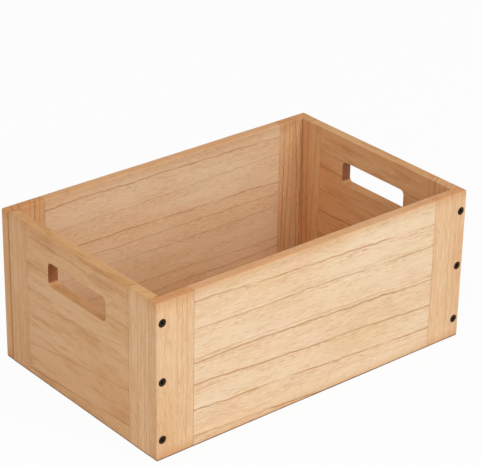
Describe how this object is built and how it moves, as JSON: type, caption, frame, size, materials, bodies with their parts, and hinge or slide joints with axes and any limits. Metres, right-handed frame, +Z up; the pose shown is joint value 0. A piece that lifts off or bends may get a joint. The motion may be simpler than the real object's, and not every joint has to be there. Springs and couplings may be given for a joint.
{
  "type": "picture book browser bin",
  "caption": "Open-topped rectangular wooden bin of framed board walls, screwed at the corners, with a rounded hand slot in each end, for standing picture books in.",
  "frame": {"origin": "middle of the underside, on the surface the bin stands on", "axes": "+X along the long walls towards the right end, +Y from front to back, +Z up"},
  "size_m": [0.4, 0.255, 0.17],
  "materials": {
    "centre_wood": "bare pale wood with level grain, sanded",
    "stile_wood": "bare pale wood with upright grain, sanded",
    "bottom_wood": "bare pale wood, sanded",
    "dowel_wood": "bare turned wood",
    "black_screw": "black satin"
  },
  "bodies": {
    "root": {"front_center_board": "centre_wood", "front_left_stile": "stile_wood", "front_left_dowel_lower": "dowel_wood", "front_left_dowel_upper": "dowel_wood", "front_left_screw_lower": "black_screw", "front_left_screw_middle": "black_screw", "front_left_screw_upper": "black_screw", "front_right_stile": "stile_wood", "front_right_dowel_lower": "dowel_wood", "front_right_dowel_upper": "dowel_wood", "front_right_screw_lower": "black_screw", "front_right_screw_middle": "black_screw", "front_right_screw_upper": "black_screw", "back_center_board": "centre_wood", "back_left_stile": "stile_wood", "back_left_dowel_lower": "dowel_wood", "back_left_dowel_upper": "dowel_wood", "back_left_screw_lower": "black_screw", "back_left_screw_middle": "black_screw", "back_left_screw_upper": "black_screw", "back_right_stile": "stile_wood", "back_right_dowel_lower": "dowel_wood", "back_right_dowel_upper": "dowel_wood", "back_right_screw_lower": "black_screw", "back_right_screw_middle": "black_screw", "back_right_screw_upper": "black_screw", "left_center_board": "centre_wood", "left_front_stile": "stile_wood", "left_front_dowel_lower": "dowel_wood", "left_front_dowel_upper": "dowel_wood", "left_back_stile": "stile_wood", "left_back_dowel_lower": "dowel_wood", "left_back_dowel_upper": "dowel_wood", "right_center_board": "centre_wood", "right_front_stile": "stile_wood", "right_front_dowel_lower": "dowel_wood", "right_front_dowel_upper": "dowel_wood", "right_back_stile": "stile_wood", "right_back_dowel_lower": "dowel_wood", "right_back_dowel_upper": "dowel_wood", "bottom_panel": "bottom_wood"}
  },
  "joints": []
}
